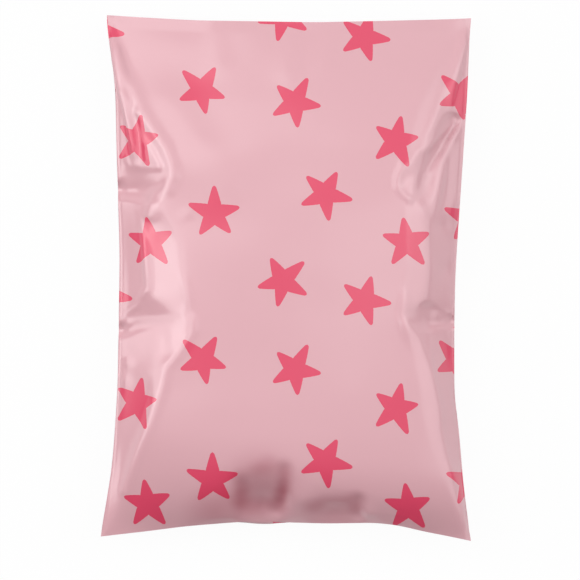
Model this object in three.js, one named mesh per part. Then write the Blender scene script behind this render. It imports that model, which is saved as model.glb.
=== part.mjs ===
// A filled and sealed poly mailer bag that lies on its back: one folded film envelope around soft contents.
// Millimetres, +Z up. The origin is under the middle of the bag, on the surface that it lies on.
// +X runs across the bag, and +Y runs along it towards the fold of the closing flap.

import * as THREE from "three";
import { mergeVertices } from "three/addons/utils/BufferGeometryUtils.js";

// The empty envelope, laid flat
const FLAT_WIDTH = 250; // between the outer edges of the two side welds
const FLAT_LENGTH = 350; // from the flap's fold to the bottom fold
const FLAP_LENGTH = 50; // of the closing flap, which is folded over and glued to the back
const FILM_THICKNESS = 0.06;
const GLUE_THICKNESS = 0.04; // between the flap and the back
const WELD_WIDTH = 2; // of each side weld, where two films are one flat band

// What filling takes from the flat size, as seen from the front
const TOP_TAKE_UP = 6.4; // from the width, between the two top corners
const BOTTOM_TAKE_UP = 2.5; // from the width, between the two bottom corners
const LENGTH_TAKE_UP = 0.5; // from the length, between a top and a bottom corner
const SIDE_BOW = 10.8; // how far each side pulls in between its corners
const TOP_BOW = 4; // how far the flap's fold pulls in
const BOTTOM_BOW = 11.4; // how far the bottom fold pulls in

// The filled section
const FILL_HEIGHT = 52; // from the surface below to the middle of the front
const SEAM_HEIGHT = 23; // of the welds and folds above that surface
const CROWN = 5; // how far the front swells over its shoulders
const SIDE_SLOPE = 52; // of film from a side weld to where it lies on the contents
const TOP_SLOPE = 84; // of front film from the flap's fold to the contents
const BOTTOM_SLOPE = 42; // of film from the bottom fold to the contents
const FLAP_MARGIN = 14; // of back film between the flap's edge and the flat of the back

// The mesh
const SLOPE_STEPS = 8;
const FLAT_STEPS = 6;
const FLAP_EDGE_RUN = 0.5; // of film over which the flap's edge steps down

const FILM_COLOUR = "#e8b7c0";

// Evenly spaced places after the first one, up to and with the last one.
function placesTo(from, to, steps) {
  return Array.from({ length: steps }, (_, i) => from + ((to - from) * (i + 1)) / steps);
}

// Places across the flat film, from the left edge to the right one, with a line at each weld's inner edge.
function placesAcross() {
  const shoulder = WELD_WIDTH + SIDE_SLOPE;
  return [
    0,
    WELD_WIDTH,
    ...placesTo(WELD_WIDTH, shoulder, SLOPE_STEPS),
    ...placesTo(shoulder, FLAT_WIDTH - shoulder, FLAT_STEPS),
    ...placesTo(FLAT_WIDTH - shoulder, FLAT_WIDTH - WELD_WIDTH, SLOPE_STEPS),
    FLAT_WIDTH,
  ];
}

// Places along the flat film, from the flap's fold to the bottom fold, with two lines at the flap's edge.
function placesAlong() {
  const flapStop = FLAP_LENGTH + FLAP_EDGE_RUN;
  const flatStart = FLAP_LENGTH + FLAP_MARGIN;
  return [
    0,
    ...placesTo(0, FLAP_LENGTH, SLOPE_STEPS),
    flapStop,
    ...placesTo(flapStop, flatStart, FLAT_STEPS / 2),
    ...placesTo(flatStart, FLAT_LENGTH - BOTTOM_SLOPE, 2 * FLAT_STEPS),
    ...placesTo(FLAT_LENGTH - BOTTOM_SLOPE, FLAT_LENGTH, SLOPE_STEPS),
  ];
}

// From 0 at a seam to 1 on the contents, along a quarter of a sine wave.
function rise(run, slope) {
  return Math.sin((Math.PI / 2) * THREE.MathUtils.clamp(run / slope, 0, 1));
}

// An arc's height between its two ends, as a share of its bow.
function arc(share) {
  return 4 * share * (1 - share);
}

// Where a place on the flat film lies in plan once the bag is filled.
function plan(across, along) {
  const a = across / FLAT_WIDTH;
  const b = along / FLAT_LENGTH;
  const span = THREE.MathUtils.lerp(FLAT_WIDTH - TOP_TAKE_UP, FLAT_WIDTH - BOTTOM_TAKE_UP, b);
  const reach = span / 2 - SIDE_BOW * arc(b);
  const length = FLAT_LENGTH - LENGTH_TAKE_UP;
  const bow = THREE.MathUtils.lerp(-TOP_BOW, BOTTOM_BOW, b) * arc(a);
  return { x: (2 * a - 1) * reach, y: length * (0.5 - b) + bow };
}

// How far up the contents lift the film, from 0 at the welds and folds to 1 over the contents.
function lift(across, along, topSlope) {
  const fromSide = Math.min(across, FLAT_WIDTH - across) - WELD_WIDTH;
  return rise(fromSide, SIDE_SLOPE) * rise(along, topSlope) * rise(FLAT_LENGTH - along, BOTTOM_SLOPE);
}

// The outside of the front film.
function frontHeight(across, along) {
  const seam = SEAM_HEIGHT + FILM_THICKNESS;
  const shoulder = FILL_HEIGHT - CROWN;
  const crown = Math.sin((Math.PI * across) / FLAT_WIDTH) * Math.sin((Math.PI * along) / FLAT_LENGTH);
  return seam + (shoulder - seam) * lift(across, along, TOP_SLOPE) + CROWN * crown * rise(along, TOP_SLOPE);
}

// The outside of the back film, with the flap as one more layer over its top end.
function backHeight(across, along) {
  const seam = SEAM_HEIGHT - FILM_THICKNESS;
  const flap = along <= FLAP_LENGTH ? FILM_THICKNESS + GLUE_THICKNESS : 0;
  return seam * (1 - lift(across, along, FLAP_LENGTH + FLAP_MARGIN)) - flap;
}

// A thin block with one grid line at each place, whose top becomes the front and whose underside the back.
function filledEnvelope() {
  const acrossPlaces = placesAcross();
  const alongPlaces = placesAlong();
  const columns = acrossPlaces.length - 1;
  const rows = alongPlaces.length - 1;
  const block = new THREE.BoxGeometry(columns, rows, 2, columns, rows, 1);
  const position = block.getAttribute("position");
  for (let i = 0; i < position.count; i++) {
    const across = acrossPlaces[Math.round(position.getX(i) + columns / 2)];
    const along = alongPlaces[Math.round(rows / 2 - position.getY(i))];
    const { x, y } = plan(across, along);
    const height = position.getZ(i) > 0 ? frontHeight : backHeight;
    position.setXYZ(i, x, y, height(across, along));
  }
  block.deleteAttribute("normal");
  block.deleteAttribute("uv");
  const envelope = mergeVertices(block);
  envelope.computeVertexNormals();
  return envelope;
}

const film = new THREE.MeshStandardMaterial({ color: FILM_COLOUR, roughness: 0.3, metalness: 0 });
const mailerBag = new THREE.Mesh(filledEnvelope(), film);
mailerBag.name = "mailer_bag";

const bag = new THREE.Group();
bag.add(mailerBag);

export default bag;
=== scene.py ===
"""A filled and sealed poly mailer bag, lying on its back on a pale floor and seen from straight above."""

import math

import bpy
import numpy as np
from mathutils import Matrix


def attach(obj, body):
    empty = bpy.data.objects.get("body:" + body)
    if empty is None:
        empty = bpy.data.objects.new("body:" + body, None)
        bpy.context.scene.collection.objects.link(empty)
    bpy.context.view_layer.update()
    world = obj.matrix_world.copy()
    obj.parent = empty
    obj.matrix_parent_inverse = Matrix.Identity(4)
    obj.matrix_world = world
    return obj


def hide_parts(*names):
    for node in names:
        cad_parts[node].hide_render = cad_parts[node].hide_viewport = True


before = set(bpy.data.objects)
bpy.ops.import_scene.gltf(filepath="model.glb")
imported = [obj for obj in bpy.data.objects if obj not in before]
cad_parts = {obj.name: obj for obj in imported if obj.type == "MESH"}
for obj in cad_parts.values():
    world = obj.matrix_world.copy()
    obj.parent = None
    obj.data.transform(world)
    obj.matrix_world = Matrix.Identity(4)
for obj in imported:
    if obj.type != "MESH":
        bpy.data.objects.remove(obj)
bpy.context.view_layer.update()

# Sizes of the flat, empty envelope, in millimetres
FLAT_WIDTH = 250.0
FLAT_LENGTH = 350.0
FLAP_LENGTH = 50.0
FLAP_LAYER = 0.45  # how far the flap stands off the back, with its glue
FLAP_FADE = 4.0  # from the film's edges, over which that layer comes in
WELD_THICKNESS = 0.2

# The outline of the filled bag seen from above: each edge from corner to corner, x and y
TOP_EDGE = [(-120, 176), (-92, 174), (-60, 172), (20, 170.6), (76, 172), (116, 173.3), (124, 174)]
BOTTOM_EDGE = [
    (-124, -173), (-116, -172), (-92, -169.3), (-68, -166), (-36, -163.2), (-20, -162.6), (28, -163.9),
    (60, -163.2), (76, -165.2), (92, -169.3), (116, -174), (124, -176),
]
LEFT_EDGE = [
    (-120, 176), (-119.7, 168), (-114, 128), (-113, 80), (-111, 16), (-111.7, -32), (-112.4, -72),
    (-114.4, -104), (-116.4, -128), (-120.4, -152), (-123.5, -168), (-124, -173),
]
RIGHT_EDGE = [
    (124, 174), (123, 168), (121, 120), (117.7, 72), (114.4, 24), (113, 0), (112.4, -32), (112.4, -80),
    (114, -89), (115.7, -104), (118.4, -136), (120.4, -152), (122.4, -168), (124, -176),
]
OUTLINE_SAMPLES = 401
OUTLINE_ROUNDING = 8  # in samples

# Ridges where the front leaves the contents, from the top corner to the bottom one: x, y and height
LEFT_RIDGE = [
    (-120, 176, 16), (-114, 152, 22), (-109, 138, 26), (-102, 126, 31), (-98, 114, 35), (-91, 102, 39),
    (-84, 92, 42), (-80, 86, 44), (-76, 76, 46), (-75, 68, 46.5), (-79, 60, 46), (-84, 54, 44.5),
    (-85, 48, 44), (-82, 42, 44.5), (-75, 36, 46.5), (-70, 28, 47.5), (-68, 5, 48), (-66, -8, 48.3),
    (-63, -21, 48.7), (-61.5, -31, 49), (-66, -43, 48.6), (-72, -51, 48), (-79, -59, 47), (-82, -72, 46.5),
    (-86, -83, 46), (-91, -98, 44.5), (-96, -108, 42.5), (-102, -123, 38), (-108, -142, 31),
    (-116, -162, 21), (-124, -174, 18),
]
RIGHT_RIDGE = [
    (124, 174, 16), (117, 162, 20.5), (105, 146, 27), (95, 130, 33.5), (88, 114, 38.5), (84, 99, 42),
    (81, 84, 45), (78, 72, 46.5), (75, 65, 47), (74, 60, 47), (76, 55, 47.3), (79, 48, 47.6), (80, 32, 48),
    (81, 9, 48.2), (78, -8, 48.5), (75, -21, 49), (80, -30, 48.6), (83, -42, 48.2), (86, -56, 47.8),
    (90, -73, 47.2), (91, -88, 46.7), (95, -100, 45.2), (101.5, -118, 42.5), (108, -133, 40),
    (114, -152, 34.5), (124, -176, 21),
]

# Shoulders outside those ridges, to which the film slopes before it drops to the weld: x, y and height
LEFT_SHOULDER = [
    (-120, 176, 16), (-114, 150, 21), (-108, 132, 25), (-102, 119, 31), (-97, 108, 35), (-93, 90, 37.5),
    (-91, 77, 38.5), (-82, 67, 43.5), (-84, 58, 43.5), (-90, 46, 40), (-92, 29, 39.5), (-92, -5, 38.5),
    (-93, -12, 38), (-78, -22, 44), (-70, -33, 47), (-77, -50, 46), (-87, -59, 43.5), (-89, -72, 42.5),
    (-93, -88, 40.5), (-100, -108, 36), (-106, -125, 31), (-112, -145, 26), (-117, -162, 22),
    (-124, -174, 18),
]
RIGHT_SHOULDER = [
    (124, 174, 16), (118.5, 161, 20), (112.5, 146, 25), (104, 120, 33), (97.5, 102, 38.3), (90.5, 87, 42.4),
    (82, 72, 45.6), (78, 65, 46.3), (78, 60, 46.3), (83, 54, 45.8), (92, 47, 44.5), (94, 27, 44.4),
    (95, 5, 44.2), (92, -17, 44.2), (86, -26, 45.3), (84, -32, 47.2), (88, -42, 46.9), (93, -56, 46),
    (98.5, -73, 45), (101.5, -88, 43.8), (102, -100, 43), (106, -118, 40.5), (111.5, -133, 38),
    (116, -152, 33), (124, -176, 21),
]

# The front's height along its middle: y and height
MIDDLE_LINE = [
    (179, 25), (171, 28), (160, 30.5), (146, 33.5), (119, 39.5), (86, 45), (52, 48), (12, 50), (-35, 50.5),
    (-82, 50.5), (-108, 49.8), (-125, 47.6), (-137, 44), (-146, 39.8), (-153, 35), (-158, 30.4), (-163, 25),
    (-179, 6),
]

# The height at which the stiff side welds stand: y and height
SEAM_LINE = [(176, 16), (150, 21), (110, 23.5), (-110, 23.5), (-150, 23.5), (-176, 19)]

# How far each of these lines is rounded along the bag, in millimetres
PLAN_ROUNDING = 3
RIDGE_HEIGHT_ROUNDING = 9
SHOULDER_HEIGHT_ROUNDING = 4
MIDDLE_ROUNDING = 5
SEAM_ROUNDING = 5
LEAST_SHOULDER = 0.5  # width of a shoulder
LEAST_DROP = 1.0  # distance from a shoulder to its weld

# Creases that stand up from the side slopes: x, y and height
CREASES = [
    [(-108, 77, 22), (-104, 74, 27), (-92, 74, 36), (-83, 72, 42), (-77, 69, 45.5)],
    [(-64, 43, 48.3), (-79, 36, 45.3), (-90, 29, 40.5)],
    [(-94, -10, 37.5), (-99, -18, 31), (-106, -23, 25), (-110, -29, 20)],
]
CREASE_FALL = 1.2  # how steeply the film falls away from each
CREASE_ROUNDING = 2

# Hollows between the creases: how steeply the film falls into each, then x, y and height
HOLLOWS = [
    (1.2, [(-113, 59, 15), (-101, 60, 21), (-92, 61, 30)]),
    (1.2, [(-112, -35, 17), (-98, -29, 25), (-84, -28, 34), (-76, -29, 40)]),
    (1.2, [(-82, 49, 43), (-74, 44, 45.3)]),
    (1.2, [(112, -29, 18), (102, -27, 25), (93, -27, 34)]),
    (1.3, [(114, 106, 21), (106, 90, 26), (99, 79, 31), (94, 70, 35)]),
]

# Dents in the bottom end of the contents: x, y, reach across and along the bag, and depth
DENTS = [(-15, -149, 12, 11, 11), (33, -155, 13, 6, 3)]

# Where the film lies close on the contents
FACE_SHARE = 0.08  # of the width between the ridges, left free beside each
LOW_END = -122.0  # below which it lies close from side to side
CLOSE_GAP = 0.1
OUT_OF_REACH = 100.0  # a height that the film never has

# Painted shade on the bottom end of the front, where the film turns away from the light: x, y, reach and
# strength
PAINTED_SHADE_SPOTS = [
    (-16, -139, 22, 0.4), (-30, -133, 6, 0.25), (-30, -140, 6, 0.35), (-30, -147, 7, 0.45),
    (-28, -154, 8, 0.3), (-1, -126, 6, 0.3), (0, -132, 6, 0.35), (-1, -138, 6, 0.4), (-1, -145, 7, 0.55),
    (-4, -151, 7, 0.5), (-20, -128, 6, 0.2), (-12, -125, 7, 0.25), (-17, -152, 8, 0.3),
    (-48, -156, 17, 0.4), (33, -154, 16, 0.3), (19, -152, 7, 0.35), (27, -149, 6, 0.2), (36, -149, 6, 0.2),
    (46, -147, 7, 0.35), (48, -154, 6, 0.35),
]
# the colour by which the painted shade multiplies the film's colour
PAINTED_SHADE_TINT = (0.62, 0.36, 0.4)
PAINTED_SHADE_UNEVEN = 6.0  # how far noise moves the spots' edges, in millimetres
PAINTED_SHADE_FADE = 1.6  # times its reach, where a spot ends

# Lumps and dents that the contents give the front: x, y, reach and height
LUMPS = [
    (-16, -141, 6, 0.8), (8, -147, 5, 1.0), (55, -156, 4, 1.2),
    (105, 34, 4, -0.8), (107, 6, 4, -0.8), (100, -25, 2.5, 0.8), (95, -31, 2.5, -0.7),
    (-106, -31, 2.5, 0.8), (-106, -56, 2.5, 0.8), (-108, -68, 3, 0.8),
]

# Pleats that stand out of the film, or sink in: reach, height, and the points that each one follows
PLEATS = [
    (3.0, 1.4, [(-114, 152), (-109, 138), (-102, 126), (-98, 114), (-91, 102), (-84, 92), (-80, 86),
                (-76, 76), (-75, 68), (-79, 60), (-86, 55.5), (-89, 49), (-90, 42)]),
    (1.6, 0.6, [(-110, 124), (-100, 110)]),
    (1.7, 0.7, [(-98, 110), (-92, 79)]),
    (1.7, 0.8, [(-91, 88), (-84, 74)]),
    (1.7, 0.5, [(-106, 79), (-104, 75), (-92, 74), (-84, 73)]),
    (1.7, 0.8, [(-94, -9), (-99, -18), (-106, -23), (-110, -28)]),
    (2.5, 0.8, [(-62, -29), (-61.5, -35), (-66, -43), (-72, -51), (-80, -59), (-82, -72), (-86, -83),
                (-91, -98), (-96, -108), (-102, -123), (-108, -142)]),
    (2.2, 0.6, [(118, 160), (112.5, 146), (104, 120), (97.5, 102), (90.5, 87), (82, 72)]),
    (1.8, 1.0, [(78, 75), (74, 65.6), (74, 60), (78, 55), (82, 52)]),
    (1.7, 0.9, [(92, 85), (112, 105)]),
    (1.7, 0.9, [(105, 88), (115, 98)]),
    (2.0, 0.5, [(80, -30), (88, -42), (93, -56), (98.5, -73), (101.5, -88), (102, -100), (106, -118),
                (111, -133)]),
    (9.0, 0.7, [(-78, 119), (-60, 92), (-37, 66)]),
    (6.0, 0.5, [(-47, 166), (-45, 143)]),
    (6.0, 0.5, [(3, 160), (1, 138)]),
    (6.0, 0.5, [(29, 166), (25, 143)]),
    (4.0, -1.0, [(-28, -138), (-28, -156)]),
    (3.5, -1.4, [(-1, -128), (-1, -146), (-6, -156)]),
    (3.0, -1.2, [(48, -148), (49, -159)]),
]

# Where the film lies in softer curves than it settles in: reach, share, and the points of each stretch
EASED = [
    (7, 1.0, [(-112, -27), (-74, -27)]),
    (9, 1.0, [(-113, 68), (-86, 68)]),
    (6, 0.7, [(84, -24), (112, -26)]),
]
EASE_REACH = 5  # in steps of the finest grid
WAVES = 0.22  # the slight unevenness all over the film
WAVE_REACH = 8  # in steps of the finest grid
WAVE_SEED = 5
EDGE_FADE = 8.0  # from the film's edges, over which all of these come in

# The film's settling
COARSE_COLUMNS = 40
COARSE_ROWS = 56
ROUNDS = (1500, 600, 300)  # at each grid, and each grid is twice as fine as the one before
FILLED_BY = 0.5  # of the first rounds, when the contents have their full height
DRAW = 0.002  # how far each round draws the film in, in millimetres, on the coarse grid
DRAW_FALL = 3  # how much less it is on each finer grid
WEIGHT = 0.3  # how far each round lowers the film, beside how far it draws it in
EDGE_PULL = 0.1  # the share of its way that each round pulls an edge to its place
SLACK_FIRMNESS = 0.12  # how the film resists being pushed together, beside how it resists being pulled
CARRIED_SPEED = 0.92
BENDING = 0.004
SHEAR = 0.6
TINY = 1e-9  # keeps a division from failing

# The map of what the contents hold up, one value for each millimetre
MAP_X = np.arange(-135.0, 136.0)
MAP_Y = np.arange(-190.0, 191.0)
LAST_CELL = 1.001  # keeps a place just inside the map's last millimetre
ACROSS = MAP_X[None, :]
ALONG = MAP_Y[:, None]

# The print: its repeat, and each star's centre in plan and its arms' directions in degrees and lengths
REPEAT = (172.0, 177.2)
SLANT = 3.3  # how far down each copy to the right lies
STARS = [
    ((-56, 124.8), ((60, 16.7), (134, 17.4), (204, 15.1), (280, 15.2), (342, 15.2))),
    ((6, 116.5), ((63, 17.4), (136, 15.4), (210, 15.8), (276, 15.9), (352, 16.3))),
    ((73, 91), ((10, 13.9), (78, 15.9), (144, 15.1), (222, 16.7), (294, 17.7))),
    ((26, 55.5), ((62, 15.6), (136, 16.1), (204, 16.2), (278, 16.8), (348, 17.4))),
    ((-47.5, 42.7), ((14, 16.3), (90, 17.3), (160, 17.3), (235, 16.0), (310, 15.8))),
    ((80, 23.5), ((25, 15.3), (98, 15.7), (162, 15.6), (236, 16.1), (308, 17.1))),
    ((-2, -2), ((42, 17.8), (118, 16.1), (194, 16.2), (258, 16.3), (330, 17.1))),
    ((52, -15), ((74, 15.7), (142, 16.0), (214, 15.7), (286, 15.9), (354, 16.8))),
]
STAR_SCALE = 1.07
NOTCH_RADIUS = 7.6
TIP_HALF_ANGLE = 4  # in degrees, seen from the star's centre
TIP_SHARE = 0.955  # of an arm's length, at the corners of its blunt tip
ARM_BULGE = 0.1
ARM_KNOTS = (0, 0.25, 0.5, 0.75)
CURVE_TOP = 20.0  # the radius that a curve's full height stands for
INK_EDGE = 0.15  # half the width over which the ink ends

# Stars that the film's pull moves: which star and copy, and how far across and down
PULLED = {
    (7, -1, -1): (-5.5, 0.5), (6, 0, -1): (0.0, 0.5), (7, 0, -1): (0.0, 1.6), (0, 0, 1): (1.0, 2.0),
    (2, -1, 0): (0.0, 2.6), (5, -1, 0): (1.9, 3.0), (4, 1, 0): (-2.4, -0.3), (0, 1, 1): (-1.6, 0.0),
    (4, 1, 1): (-3.2, -1.8), (5, 0, 1): (1.4, -1.2), (4, 0, 1): (-1.3, -0.5),
}
STAR_HOLD = 14.0  # how far from its centre a star keeps the print in its place
STAR_LIMIT = 40.0  # from the film, past which a star isn't placed
PLAN_SHARE = 0.9  # how far the print follows the filled bag's plan instead of the flat film
PRINT_ROUNDING = 6  # in steps of the finest grid
FREE_PRINT = 1e-6  # the weight with which the print stays, away from all stars

# The finish
FILM_COLOUR = (0.665, 0.37, 0.41)
STAR_COLOUR = (0.68, 0.062, 0.127)
FILM_SPECULAR = 0.7
FILM_ROUGHNESS = (0.17, 0.21)
NOISE_SCALE = 22
NOISE_DETAIL = 1

# The flat film's place in the baked picture, where each panel lies in one half
BAKE_SPAN = 500.0  # in millimetres
BAKE_FILL = 0.96
BAKE_TOP = 0.98
BAKE_MIDDLE = 0.25
BAKE_HALF = 0.5

# The view: the picture's middle on the floor, its width at a height above it, and the camera's height
VIEW_CENTRE = (2.7, -8.0)
VIEW_WIDTH = 388.0
VIEW_LEVEL = 18.0
VIEW_HEIGHT = 3000.0
SENSOR_WIDTH = 36.0

# The floor, in metres, and its tones
FLOOR_HALF = 3.0
FLOOR_LEVEL = -0.0004
FLOOR_GREY = 0.45
FLOOR_ROUGHNESS = 0.9
FLOOR_WHITE = 1.03
FLOOR_WHITE_SHARE = 0.93  # the rest keeps the shadow

# Softboxes that face the bag: name, place and size in metres, and power in watts
LAMPS = [
    ("key", (-0.7, 0.35, 1.15), (1.2, 1.2), 6.0),
    ("left_strip", (-0.85, 0.05, 1.1), (0.3, 1.0), 0.5),
    ("left_fill", (-1.2, 0.1, 0.72), (0.9, 0.9), 5.6),
    ("right_strip", (0.62, 0.25, 1.2), (0.3, 1.4), 1.2),
    ("right_fill", (1.3, -0.05, 1.1), (2.0, 2.0), 14),
]

# The room's light by how far a direction points up, or to the bag's top: start, end, and the level at each
ROOM_UPWARD = (0.0, 0.95, 0.34, 0.88)
ROOM_TOWARDS_TOP = (-0.9, 0.3, 0.06, 1.0)

MM = 0.001
FULL_TURN = 360
EDGES = (np.s_[0, :], np.s_[-1, :], np.s_[:, 0], np.s_[:, -1])


def smoothed(line, reach):
    """A row of values, each averaged with its neighbours by a bell curve of this reach."""
    steps = np.arange(-3 * reach, 3 * reach + 1)
    weights = np.exp(-0.5 * (steps / reach) ** 2)
    weights /= weights.sum()
    padded = np.pad(line, 3 * reach, mode="reflect", reflect_type="odd")
    return np.convolve(padded, weights, "valid")


def blurred(field, reach):
    """A grid of values, smoothed along its rows and its columns."""
    rows = np.stack([smoothed(row, reach) for row in field])
    return np.stack([smoothed(column, reach) for column in rows.T]).T


def along_bag(points, index, reach):
    """One coordinate of a line along the bag, at each millimetre of the bag's length."""
    points = sorted(points, key=lambda point: point[-2])
    line = np.interp(MAP_Y, [point[-2] for point in points], [point[index] for point in points])
    return smoothed(line, reach)[:, None]


def along_segment(x, y, start, end):
    """For each place, its share of the way along a straight segment and its distance from it."""
    dx = end[0] - start[0]
    dy = end[1] - start[1]
    share = np.clip(((x - start[0]) * dx + (y - start[1]) * dy) / (dx * dx + dy * dy), 0, 1)
    return share, np.hypot(x - start[0] - share * dx, y - start[1] - share * dy)


def line_distance(x, y, points):
    """Each place's distance from a line of straight segments."""
    return np.min([along_segment(x, y, a, b)[1] for a, b in zip(points[:-1], points[1:])], axis=0)


def crease_field(points, fall):
    """A narrow roof under a crease, which falls away on both sides of it."""
    roofs = []
    for start, end in zip(points[:-1], points[1:]):
        share, away = along_segment(ACROSS, ALONG, start, end)
        roofs.append(start[2] + share * (end[2] - start[2]) - fall * away)
    return np.max(roofs, axis=0)


def face_field(share, left_z, right_z):
    """The front's height where it lies on the contents, crowned between its two ridges."""
    middle_z = along_bag(MIDDLE_LINE, 1, MIDDLE_ROUNDING)
    crown = middle_z - 0.5 * (left_z + right_z)
    face = left_z + (right_z - left_z) * share + crown * 4 * share * (1 - share)
    return np.where((share > 0) & (share < 1), face, -OUT_OF_REACH)


def with_side(field, ridge_x, ridge_z, shoulder, edge):
    """The field with the slope outside one ridge: down to its shoulder, then down to the weld."""
    side = np.sign(ridge_x)
    away = side * (ACROSS - ridge_x)
    width = np.maximum(side * (along_bag(shoulder, 0, PLAN_ROUNDING) - ridge_x), LEAST_SHOULDER)
    shoulder_z = along_bag(shoulder, 2, SHOULDER_HEIGHT_ROUNDING)
    seam_x = np.interp(MAP_Y, *np.array(sorted((y, x) for x, y in edge)).T)[:, None]
    seam_z = along_bag(SEAM_LINE, 1, SEAM_ROUNDING)
    to_seam = np.maximum(side * (seam_x - ridge_x) - width, LEAST_DROP)
    slope = ridge_z + (shoulder_z - ridge_z) * np.minimum(away / width, 1)
    slope -= (shoulder_z - seam_z) * np.maximum(away - width, 0) / to_seam
    return np.where(away > 0, slope, field)


def with_dents(field):
    """The field with the dents in the bottom end of the contents."""
    for x, y, across, along, depth in DENTS:
        bell = ((ACROSS - x) / across) ** 2 + ((ALONG - y) / along) ** 2
        field = field - depth * np.exp(-0.5 * bell)
    return field


def ceiling_field(field, share):
    """The highest that the front may lie: close on the contents, free beside them, and low in the hollows."""
    on_face = (share > FACE_SHARE) & (share < 1 - FACE_SHARE) | (ALONG < LOW_END)
    ceiling = np.where(on_face, field + CLOSE_GAP, OUT_OF_REACH)
    for fall, hollow in HOLLOWS:
        upside_down = [(x, y, -height) for x, y, height in hollow]
        ceiling = np.minimum(ceiling, -crease_field(upside_down, fall))
    return ceiling


def contents_maps():
    """The lowest and the highest that the front film may lie over each place in plan."""
    left_x = along_bag(LEFT_RIDGE, 0, PLAN_ROUNDING)
    left_z = along_bag(LEFT_RIDGE, 2, RIDGE_HEIGHT_ROUNDING)
    right_x = along_bag(RIGHT_RIDGE, 0, PLAN_ROUNDING)
    right_z = along_bag(RIGHT_RIDGE, 2, RIDGE_HEIGHT_ROUNDING)
    share = (ACROSS - left_x) / (right_x - left_x)
    field = face_field(share, left_z, right_z)
    field = with_side(field, left_x, left_z, LEFT_SHOULDER, LEFT_EDGE)
    field = with_side(field, right_x, right_z, RIGHT_SHOULDER, RIGHT_EDGE)
    field = with_dents(field)
    for crease in CREASES:
        field = np.maximum(field, crease_field(crease, CREASE_FALL))
    ceiling = ceiling_field(field, share)
    return blurred(field, CREASE_ROUNDING), blurred(ceiling, CREASE_ROUNDING)


def look_up(field, x, y):
    """The map's value at each place, between its millimetres."""
    across = np.clip(x - MAP_X[0], 0, len(MAP_X) - LAST_CELL)
    along = np.clip(y - MAP_Y[0], 0, len(MAP_Y) - LAST_CELL)
    i = across.astype(int)
    j = along.astype(int)
    s = across - i
    t = along - j
    low = field[j, i] * (1 - s) + field[j, i + 1] * s
    high = field[j + 1, i] * (1 - s) + field[j + 1, i + 1] * s
    return low * (1 - t) + high * t


def flat_film():
    """The empty envelope: the front panel and the back panel, each a grid of points."""
    across = np.linspace(-FLAT_WIDTH / 2, FLAT_WIDTH / 2, COARSE_COLUMNS + 1)
    along = np.linspace(FLAT_LENGTH / 2, -FLAT_LENGTH / 2, COARSE_ROWS + 1)
    x, y = np.meshgrid(across, along)
    front = np.stack([x, y, np.ones_like(x)], axis=-1)
    back = np.stack([x, y, np.zeros_like(x)], axis=-1)
    return np.stack([front, back]).astype(np.float32)


def finer(film):
    """The same film on a grid twice as fine."""
    panels, rows, columns, _ = film.shape
    out = np.zeros((panels, 2 * rows - 1, 2 * columns - 1, 3), film.dtype)
    out[:, ::2, ::2] = film
    out[:, 1::2, ::2] = 0.5 * (film[:, 1:] + film[:, :-1])
    out[:, :, 1::2] = 0.5 * (out[:, :, 2::2] + out[:, :, :-2:2])
    return out


def join_edges(film):
    """The two panels share their four edges: the flap's fold, the bottom fold and the side welds."""
    for edge in EDGES:
        middle = 0.5 * (film[0][edge] + film[1][edge])
        film[0][edge] = middle
        film[1][edge] = middle


def hold(a, b, rest, firmness):
    """Moves pairs of points towards the distance that the film keeps between them."""
    gap = b - a
    length = np.sqrt(np.einsum("...i,...i->...", gap, gap)) + TINY
    share = np.where(length > rest, 0.5 * firmness, 0.5 * firmness * SLACK_FIRMNESS)
    gap *= (share * (length - rest) / length)[..., None]
    a += gap
    b -= gap


def keep_lengths(film, across, along):
    """Keeps the film's lengths along its grid, and more softly along its diagonals."""
    for start in (0, 1):
        hold(film[:, :, start:-1:2], film[:, :, start + 1 :: 2], across, 1.0)
    for start in (0, 1):
        hold(film[:, start:-1:2], film[:, start + 1 :: 2], along, 1.0)
    diagonal = math.hypot(across, along)
    for start in (0, 1):
        hold(film[:, start:-1:2, :-1], film[:, start + 1 :: 2, 1:], diagonal, SHEAR)
        hold(film[:, start:-1:2, 1:], film[:, start + 1 :: 2, :-1], diagonal, SHEAR)


def resist_bending(film, amount):
    """Moves each point against the film's curve there."""
    bend = np.zeros_like(film)
    curve = film[:, :, 2:] - 2 * film[:, :, 1:-1] + film[:, :, :-2]
    bend[:, :, 1:-1] -= 2 * curve
    bend[:, :, 2:] += curve
    bend[:, :, :-2] += curve
    curve = film[:, 2:] - 2 * film[:, 1:-1] + film[:, :-2]
    bend[:, 1:-1] -= 2 * curve
    bend[:, 2:] += curve
    bend[:, :-2] += curve
    film -= amount * bend


def outward(film):
    """Each point's direction out of the bag."""
    normal = np.cross(np.gradient(film, axis=1), np.gradient(film, axis=2))
    normal /= np.linalg.norm(normal, axis=-1, keepdims=True) + TINY
    normal[1] *= -1
    return normal


def edge_line(points, count):
    """Evenly shared points along one edge of the outline, with its bends rounded."""
    steps = np.hypot(*np.diff(np.array(points), axis=0).T)
    places = np.concatenate([[0], np.cumsum(steps)]) / np.sum(steps)
    share = np.linspace(0, 1, OUTLINE_SAMPLES)
    lines = [np.interp(share, places, [point[i] for point in points]) for i in (0, 1)]
    rounded = [smoothed(line, OUTLINE_ROUNDING) for line in lines]
    return np.stack([np.interp(np.linspace(0, 1, count), share, line) for line in rounded], axis=-1)


def outline(rows, columns):
    """Each edge of the film's grid, with the places that it is pulled to."""
    return [
        (np.s_[:, 0], edge_line(TOP_EDGE, columns)),
        (np.s_[:, -1], edge_line(BOTTOM_EDGE, columns)),
        (np.s_[:, :, 0], edge_line(LEFT_EDGE, rows)),
        (np.s_[:, :, -1], edge_line(RIGHT_EDGE, rows)),
    ]


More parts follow.
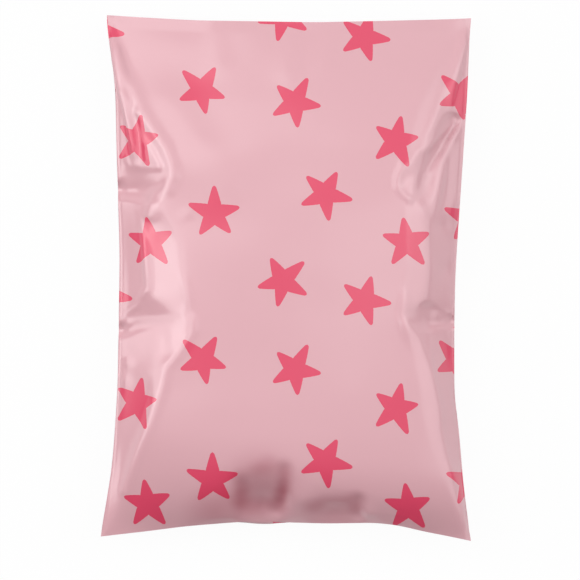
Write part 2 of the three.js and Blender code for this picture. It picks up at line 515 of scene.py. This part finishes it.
def pull_edges(film, edges):
    """Pulls the edges to the outline, and the side welds to the height at which they stand."""
    for edge, target in edges:
        film[edge][..., :2] += EDGE_PULL * (target - film[edge][..., :2])
    for column, (_, target) in zip((0, -1), edges[2:]):
        height = np.interp(target[:, 1], *np.array(SEAM_LINE[::-1]).T)
        film[:, :, column, 2] += EDGE_PULL * (height - film[:, :, column, 2])
    join_edges(film)


def rest_on_contents(film, maps, filled):
    """The front lies between the lowest and the highest that the contents let it."""
    lowest, highest = [look_up(field, film[0, ..., 0], film[0, ..., 1]) for field in maps]
    film[0, ..., 2] = np.clip(film[0, ..., 2], filled * lowest, np.maximum(highest, 0))


def keep_apart(film):
    """The front never passes below the back, and nothing passes below the floor."""
    film[..., 2] = np.maximum(film[..., 2], 0.0)
    crossed = film[0, ..., 2] < film[1, ..., 2]
    middle = 0.5 * (film[0, ..., 2] + film[1, ..., 2])
    for panel in film:
        panel[..., 2] = np.where(crossed, middle, panel[..., 2])


def settle(film, maps, rounds, draw, filling):
    """Fills the film or lets it settle on the contents, and returns where it comes to rest."""
    rows, columns = film.shape[1:3]
    edges = outline(rows, columns)
    last = film.copy()
    for turn in range(rounds):
        filled = min(1.0, (turn + 1) / FILLED_BY / rounds) if filling else 1.0
        film, last = film + CARRIED_SPEED * (film - last), film
        out = outward(film)
        film[0] -= draw * out[0]
        film[1] += draw * out[1]
        film[..., 2] -= WEIGHT * draw
        keep_lengths(film, FLAT_WIDTH / (columns - 1), FLAT_LENGTH / (rows - 1))
        resist_bending(film, BENDING)
        pull_edges(film, edges)
        rest_on_contents(film, maps, filled)
        keep_apart(film)
        for edge in EDGES:
            film[1][edge] = film[0][edge]
    return film


def filled_film():
    """The front and the back of the filled bag, each a grid of points in millimetres."""
    maps = contents_maps()
    film = flat_film()
    for level, rounds in enumerate(ROUNDS):
        if level:
            film = finer(film)
        film = settle(film, maps, rounds, DRAW / DRAW_FALL**level, filling=level == 0)
    film = film.astype(float)
    film[0] = eased(film[0])
    film[0] += lumps(film[0]) * outward(film)[0]
    press_welds(film)
    return film


def edge_distance(rows, columns):
    """How far each point of the flat film is from its nearest edge."""
    to_side = np.minimum(np.arange(columns), np.arange(columns)[::-1]) * FLAT_WIDTH / (columns - 1)
    to_end = np.minimum(np.arange(rows), np.arange(rows)[::-1]) * FLAT_LENGTH / (rows - 1)
    return np.minimum(to_side[None, :], to_end[:, None])


def eased(front):
    """The front with its hardest falls spread out."""
    soft = np.stack([blurred(front[..., i], EASE_REACH) for i in range(3)], axis=-1)
    share = np.zeros(front.shape[:2])
    for reach, most, points in EASED:
        away = line_distance(front[..., 0], front[..., 1], points)
        share = np.maximum(share, most * np.exp(-0.5 * (away / reach) ** 2))
    share *= np.clip(edge_distance(*share.shape) / EDGE_FADE, 0, 1)
    return front + share[..., None] * (soft - front)


def lumps(front):
    """How far the contents stand the front out, or let it sink in, fading out at the edges of the film."""
    rows, columns, _ = front.shape
    waves = blurred(np.random.default_rng(WAVE_SEED).standard_normal((rows, columns)), WAVE_REACH)
    height = WAVES * waves / waves.std()
    for x, y, reach, amount in LUMPS:
        away = np.hypot(front[..., 0] - x, front[..., 1] - y)
        height += amount * np.exp(-0.5 * (away / reach) ** 2)
    for reach, amount, points in PLEATS:
        away = line_distance(front[..., 0], front[..., 1], points)
        height += amount * np.exp(-0.5 * (away / reach) ** 2)
    return (height * np.clip(edge_distance(rows, columns) / EDGE_FADE, 0, 1))[..., None]


def press_welds(film):
    """The weld along each side: a narrow flat band in which the two panels lie together."""
    for column in (1, -2):
        middle = film[:, 1:-1, column].mean(axis=0)
        out = outward(film)[:, 1:-1, column]
        film[:, 1:-1, column] = middle + 0.5 * WELD_THICKNESS * out


def flat_places(rows, columns):
    """Each grid point's place on the flat film, across it and down it from the flap's fold."""
    across = np.linspace(-FLAT_WIDTH / 2, FLAT_WIDTH / 2, columns)
    down = np.linspace(0, FLAT_LENGTH, rows)
    return np.stack(np.meshgrid(across, down), axis=-1)


def star_copies():
    """Each star over the front and around it: its place in the print, and where it lies on the filled bag."""
    for number, ((x, y), _) in enumerate(STARS):
        for i in (-1, 0, 1):
            for j in (-1, 0, 1):
                star = np.array([x + i * REPEAT[0], FLAT_LENGTH / 2 - y + j * REPEAT[1]])
                pulled = star + (0, i * SLANT) + np.array(PULLED.get((number, i, j), (0, 0)))
                yield star, pulled


def front_print(front, flat):
    """Each front point's place in the print, so that each star lies where the filled bag has it."""
    plan = np.stack([front[..., 0], FLAT_LENGTH / 2 - front[..., 1]], axis=-1)
    even = np.stack([blurred(plan[..., i], PRINT_ROUNDING) for i in (0, 1)], axis=-1)
    places = (flat + PLAN_SHARE * (even - flat)).reshape(-1, 2)
    plan = plan.reshape(-1, 2)
    weights = np.full(places.shape[0], FREE_PRINT)
    shift = np.zeros_like(places)
    for star, pulled in star_copies():
        gap = np.hypot(*(plan - pulled).T)
        nearest = gap.argmin()
        if gap[nearest] > STAR_LIMIT:
            continue
        off = plan[nearest] - places[nearest] + star - pulled
        away = np.sum((places + off - star) ** 2, axis=1)
        weight = np.exp(-away / (2 * STAR_HOLD**2))
        weights += weight
        shift += weight[:, None] * off
    return (places + shift / weights[:, None]).reshape(flat.shape)


def skin(film, flap_row):
    """The skin's points, and which of them make up the grids of the front, flap, step and back."""
    rows, columns = film.shape[1:3]
    inset = FLAP_LAYER * np.clip(edge_distance(rows, columns) / FLAP_FADE, 0, 1)[..., None]
    flap = film[1][: flap_row + 1]
    back = (film[1] - inset * outward(film)[1])[flap_row:]
    points = [film[0].reshape(-1, 3)]
    front_id = np.arange(rows * columns).reshape(rows, columns)
    flap_id = front_id[: flap_row + 1].copy()
    back_id = front_id[flap_row:].copy()
    for ids, panel, inner in ((flap_id, flap, np.s_[1:, 1:-1]), (back_id, back, np.s_[:-1, 1:-1])):
        first = sum(len(group) for group in points)
        ids[inner] = first + np.arange(ids[inner].size).reshape(ids[inner].shape)
        points.append(panel[inner].reshape(-1, 3))
    step_id = np.stack([flap_id[-1], back_id[0]])
    return np.concatenate(points), [front_id, flap_id, step_id, back_id]


def print_grids(film, flap_row):
    """Each grid point's place in the print, on the front, flap, step and back."""
    flat = flat_places(*film.shape[1:3])
    flap = flat[: flap_row + 1] * (1, -1)
    back = (0, 2 * FLAT_LENGTH) + flat[flap_row:] * (1, -1)
    return [front_print(film[0], flat), flap, np.stack([flap[-1], flap[-1]]), back]


def bake_grids(film, flap_row):
    """Each grid point's place in a baked picture: the front in its left half, and the rest in its right."""
    flat = flat_places(*film.shape[1:3])
    across = BAKE_MIDDLE + BAKE_FILL * flat[..., 0] / BAKE_SPAN
    down = BAKE_TOP - BAKE_FILL * flat[..., 1] / BAKE_SPAN
    front = np.stack([across, down], axis=-1)
    back = front + (BAKE_HALF, 0)
    return [front, back[: flap_row + 1], np.stack([back[flap_row], back[flap_row]]), back[flap_row:]]


def grid_corners(grids):
    """The four corners of each square of the four grids, in order around it as seen from outside."""
    squares = []
    for number, grid in enumerate(grids):
        corners = [grid[:-1, :-1], grid[1:, :-1], grid[1:, 1:], grid[:-1, 1:]]
        if number:
            corners.reverse()
        squares.append(np.stack(corners, axis=2).reshape(-1, 4, *grid.shape[2:]))
    return np.concatenate(squares)


def add_uv(mesh, name, grids, square, scale):
    """A UV map; the step's two ends are triangles, which come last."""
    values = grid_corners(grids) * scale
    ends = values[np.logical_not(square)][:, :3]
    values = np.concatenate([values[square].reshape(-1, 2), ends.reshape(-1, 2)])
    mesh.uv_layers.new(name=name).data.foreach_set("uv", values.ravel())


def bag_mesh(film):
    """One closed skin: the front, the flap, the step at the flap's end, and the back."""
    flap_row = round(FLAP_LENGTH / FLAT_LENGTH * (film.shape[1] - 1))
    points, ids = skin(film, flap_row)
    faces = grid_corners(ids)
    square = np.array([len(set(face)) == 4 for face in faces.tolist()])
    ends = [list(dict.fromkeys(face)) for face in faces[np.logical_not(square)].tolist()]
    mesh = bpy.data.meshes.new("mailer_bag_film")
    mesh.from_pydata((points * MM).tolist(), [], faces[square].tolist() + ends)
    add_uv(mesh, "print", print_grids(film, flap_row), square, MM)
    add_uv(mesh, "OFBake", bake_grids(film, flap_row), square, 1)
    mesh.polygons.foreach_set("use_smooth", np.ones(len(mesh.polygons), bool))
    mark_folds(mesh, ids[0], ids[2])
    mesh.update()
    return mesh


def mark_folds(mesh, front_id, step_id):
    """Folds, welds and the flap's end stay crisp in the smooth shading."""
    lines = [front_id[edge] for edge in EDGES] + list(step_id)
    crisp = {frozenset(pair) for line in lines for pair in zip(line[:-1].tolist(), line[1:].tolist())}
    sharp = [frozenset(edge.vertices) in crisp for edge in mesh.edges]
    mesh.attributes.new("sharp_edge", "BOOLEAN", "EDGE").data.foreach_set("value", sharp)


def worked_out(tree, operation, *values):
    """A Math node's result; each value is a number or a node's output."""
    node = tree.nodes.new("ShaderNodeMath")
    node.operation = operation
    for socket, value in zip(node.inputs, values):
        if isinstance(value, (int, float)):
            socket.default_value = value
        else:
            tree.links.new(value, socket)
    return node.outputs[0]


def stepped(tree, value, start, end, low, high, shape="SMOOTHSTEP"):
    """A change from low to high as the value goes from start to end."""
    node = tree.nodes.new("ShaderNodeMapRange")
    node.interpolation_type = shape
    for name, number in (("From Min", start), ("From Max", end), ("To Min", low), ("To Max", high)):
        node.inputs[name].default_value = number
    tree.links.new(value, node.inputs["Value"])
    return node.outputs[0]


def mixed(tree, blend, factor, a, b):
    """One colour mixed into another; each colour is three numbers or a node's output."""
    node = tree.nodes.new("ShaderNodeMix")
    node.data_type = "RGBA"
    node.blend_type = blend
    tree.links.new(factor, node.inputs["Factor"])
    for name, colour in (("A", a), ("B", b)):
        if isinstance(colour, tuple):
            node.inputs[name].default_value = (*colour, 1)
        else:
            tree.links.new(colour, node.inputs[name])
    return node.outputs["Result"]


def polar(angle, radius):
    """The point in this direction, in degrees, at this distance."""
    return np.array([radius * math.cos(math.radians(angle)), radius * math.sin(math.radians(angle))])


def star_edge(start, end):
    """Knots along one edge of a star, which bulges a little: direction and radius."""
    knots = []
    for share in ARM_KNOTS:
        at = polar(*start) + share * (polar(*end) - polar(*start))
        bulge = 1 + ARM_BULGE * share * (1 - share)
        knots.append((math.degrees(math.atan2(at[1], at[0])), bulge * math.hypot(*at)))
    return knots


def star_outline(arms):
    """A star's radius by direction: blunt tips, and edges from them to the notches between the arms."""
    arms = sorted((angle, STAR_SCALE * length) for angle, length in arms)
    following = arms[1:] + [(arms[0][0] + FULL_TURN, arms[0][1])]
    knots = []
    for (angle, length), (next_angle, next_length) in zip(arms, following):
        leaving = (angle + TIP_HALF_ANGLE, TIP_SHARE * length)
        notch = (0.5 * (angle + next_angle), NOTCH_RADIUS)
        arriving = (next_angle - TIP_HALF_ANGLE, TIP_SHARE * next_length)
        knots += [(angle, length), *star_edge(leaving, notch), *star_edge(notch, arriving), arriving]
    return sorted((angle % FULL_TURN, radius) for angle, radius in knots)


def outline_radius(tree, turn, arms):
    """A star's radius in a direction, which is given as a share of a full turn."""
    knots = star_outline(arms)
    first, last = knots[0], knots[-1]
    gap = first[0] + FULL_TURN - last[0]
    at_start = last[1] + (first[1] - last[1]) * (FULL_TURN - last[0]) / gap
    curve = tree.nodes.new("ShaderNodeFloatCurve")
    points = curve.mapping.curves[0].points
    points[0].location = (0.0, at_start / CURVE_TOP)
    points[1].location = (1.0, at_start / CURVE_TOP)
    for angle, radius in knots:
        points.new(angle / FULL_TURN, radius / CURVE_TOP)
    for point in points:
        point.handle_type = "VECTOR"
    curve.mapping.update()
    tree.links.new(turn, curve.inputs["Value"])
    return worked_out(tree, "MULTIPLY", curve.outputs[0], CURVE_TOP * MM)


def from_copy(tree, place, centre, period):
    """How far a place in the print is from the nearest copy of a star's centre."""
    return worked_out(tree, "WRAP", worked_out(tree, "SUBTRACT", place, centre), period / 2, -period / 2)


def star_mask(tree, across, down, star):
    """One inside each copy of a star, and zero outside."""
    (x, y), arms = star
    dx = from_copy(tree, across, x * MM, REPEAT[0] * MM)
    dy = from_copy(tree, down, (FLAT_LENGTH / 2 - y) * MM, REPEAT[1] * MM)
    angle = worked_out(tree, "ARCTAN2", worked_out(tree, "MULTIPLY", dy, -1.0), dx)
    turn = worked_out(tree, "FRACT", worked_out(tree, "DIVIDE", angle, 2 * math.pi))
    squares = [worked_out(tree, "MULTIPLY", side, side) for side in (dx, dy)]
    radius = worked_out(tree, "SQRT", worked_out(tree, "ADD", *squares))
    inside = worked_out(tree, "SUBTRACT", outline_radius(tree, turn, arms), radius)
    return stepped(tree, inside, -INK_EDGE * MM, INK_EDGE * MM, 0.0, 1.0)


def printed_colour(tree):
    """The film's colour with its stars."""
    coordinates = tree.nodes.new("ShaderNodeUVMap")
    coordinates.uv_map = "print"
    split = tree.nodes.new("ShaderNodeSeparateXYZ")
    tree.links.new(coordinates.outputs[0], split.inputs[0])
    mask = star_mask(tree, split.outputs[0], split.outputs[1], STARS[0])
    for star in STARS[1:]:
        mask = worked_out(tree, "MAXIMUM", mask, star_mask(tree, split.outputs[0], split.outputs[1], star))
    return mixed(tree, "MIX", mask, FILM_COLOUR, STAR_COLOUR)


def painted_shade(tree, place, front):
    """How strongly the painted shade darkens the film, at each place on the front of the bag."""
    spots = []
    front = front.reshape(-1, 3)
    for x, y, reach, strength in PAINTED_SHADE_SPOTS:
        away = tree.nodes.new("ShaderNodeVectorMath")
        away.operation = "DISTANCE"
        nearest = np.hypot(front[:, 0] - x, front[:, 1] - y).argmin()
        away.inputs[1].default_value = (front[nearest] + 0.5 * PAINTED_SHADE_UNEVEN) * MM
        tree.links.new(place, away.inputs[0])
        spots.append(stepped(tree, away.outputs["Value"], 0.0, PAINTED_SHADE_FADE * reach * MM, strength, 0.0))
    total = spots[0]
    for spot in spots[1:]:
        total = worked_out(tree, "ADD", total, spot)
    return total


def film_material(front):
    """Glossy film with its print, and painted shade darkening the bottom end of its front."""
    material = bpy.data.materials.new("printed_film")
    material.use_nodes = True
    tree = material.node_tree
    shader = tree.nodes["Principled BSDF"]
    shader.inputs["Specular IOR Level"].default_value = FILM_SPECULAR
    place = tree.nodes.new("ShaderNodeTexCoord").outputs["Object"]
    noise = tree.nodes.new("ShaderNodeTexNoise")
    noise.inputs["Scale"].default_value = NOISE_SCALE
    noise.inputs["Detail"].default_value = NOISE_DETAIL
    tree.links.new(place, noise.inputs["Vector"])
    uneven = tree.nodes.new("ShaderNodeVectorMath")
    uneven.operation = "MULTIPLY_ADD"
    uneven.inputs[1].default_value = (PAINTED_SHADE_UNEVEN * MM,) * 3
    tree.links.new(noise.outputs["Color"], uneven.inputs[0])
    tree.links.new(place, uneven.inputs[2])
    painted_shade_amount = painted_shade(tree, uneven.outputs[0], front)
    # painted shade: the print darkened in soft spots at the bottom end, where the film faces away from the
    # light
    colour = mixed(tree, "MULTIPLY", painted_shade_amount, printed_colour(tree), PAINTED_SHADE_TINT)
    tree.links.new(colour, shader.inputs["Base Color"])
    rough = stepped(tree, noise.outputs["Fac"], 0.0, 1.0, *FILM_ROUGHNESS, shape="LINEAR")
    tree.links.new(rough, shader.inputs["Roughness"])
    return material


def floor_material():
    """A matt floor that looks white, in reflections too, and keeps a little of the bag's shadow."""
    material = bpy.data.materials.new("floor_white")
    material.use_nodes = True
    tree = material.node_tree
    shader = tree.nodes["Principled BSDF"]
    shader.inputs["Base Color"].default_value = (FLOOR_GREY, FLOOR_GREY, FLOOR_GREY, 1)
    shader.inputs["Roughness"].default_value = FLOOR_ROUGHNESS
    glow = tree.nodes.new("ShaderNodeEmission")
    glow.inputs["Strength"].default_value = FLOOR_WHITE
    path = tree.nodes.new("ShaderNodeLightPath").outputs
    mirrored = worked_out(tree, "MAXIMUM", path["Is Glossy Ray"], path["Is Transmission Ray"])
    seen = worked_out(tree, "MAXIMUM", path["Is Camera Ray"], mirrored)
    mix = tree.nodes.new("ShaderNodeMixShader")
    tree.links.new(worked_out(tree, "MULTIPLY", seen, FLOOR_WHITE_SHARE), mix.inputs[0])
    tree.links.new(shader.outputs[0], mix.inputs[1])
    tree.links.new(glow.outputs[0], mix.inputs[2])
    tree.links.new(mix.outputs[0], tree.nodes["Material Output"].inputs["Surface"])
    return material


def add_bag():
    film = filled_film()
    bag = bpy.data.objects.new("mailer_bag_film", bag_mesh(film))
    bpy.context.collection.objects.link(bag)
    bag.data.materials.append(film_material(film[0]))
    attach(bag, "root")
    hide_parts("mailer_bag")


def add_floor():
    mesh = bpy.data.meshes.new("floor")
    signs = ((-1, -1), (1, -1), (1, 1), (-1, 1))
    corners = [(i * FLOOR_HALF, j * FLOOR_HALF, FLOOR_LEVEL) for i, j in signs]
    mesh.from_pydata(corners, [], [(0, 1, 2, 3)])
    floor = bpy.data.objects.new("floor", mesh)
    bpy.context.collection.objects.link(floor)
    floor.data.materials.append(floor_material())


def add_camera():
    data = bpy.data.cameras.new("view")
    data.sensor_fit = "HORIZONTAL"
    data.sensor_width = SENSOR_WIDTH
    data.lens = SENSOR_WIDTH * (VIEW_HEIGHT - VIEW_LEVEL) / VIEW_WIDTH
    camera = bpy.data.objects.new("view", data)
    camera.location = (VIEW_CENTRE[0] * MM, VIEW_CENTRE[1] * MM, VIEW_HEIGHT * MM)
    bpy.context.collection.objects.link(camera)
    bpy.context.scene.camera = camera


def add_softbox(name, place, size, power):
    light = bpy.data.lights.new(name, "AREA")
    light.shape = "RECTANGLE"
    light.size, light.size_y = size
    light.energy = power
    lamp = bpy.data.objects.new(name, light)
    lamp.location = place
    towards = -lamp.location
    lamp.rotation_euler = towards.to_track_quat("-Z", "Y").to_euler()
    bpy.context.collection.objects.link(lamp)


def add_room():
    """A soft white room, brightest overhead and darkest towards the bottom of the bag."""
    world = bpy.data.worlds.new("studio")
    bpy.context.scene.world = world
    world.use_nodes = True
    tree = world.node_tree
    direction = tree.nodes.new("ShaderNodeTexCoord")
    split = tree.nodes.new("ShaderNodeSeparateXYZ")
    tree.links.new(direction.outputs["Generated"], split.inputs[0])
    upward = stepped(tree, split.outputs["Z"], *ROOM_UPWARD)
    towards_top = stepped(tree, split.outputs["Y"], *ROOM_TOWARDS_TOP)
    backdrop = tree.nodes["Background"]
    backdrop.inputs["Color"].default_value = (1, 1, 1, 1)
    tree.links.new(worked_out(tree, "MULTIPLY", upward, towards_top), backdrop.inputs["Strength"])


bpy.context.scene.view_settings.view_transform = "Standard"
add_bag()
add_floor()
add_camera()
for lamp in LAMPS:
    add_softbox(*lamp)
add_room()
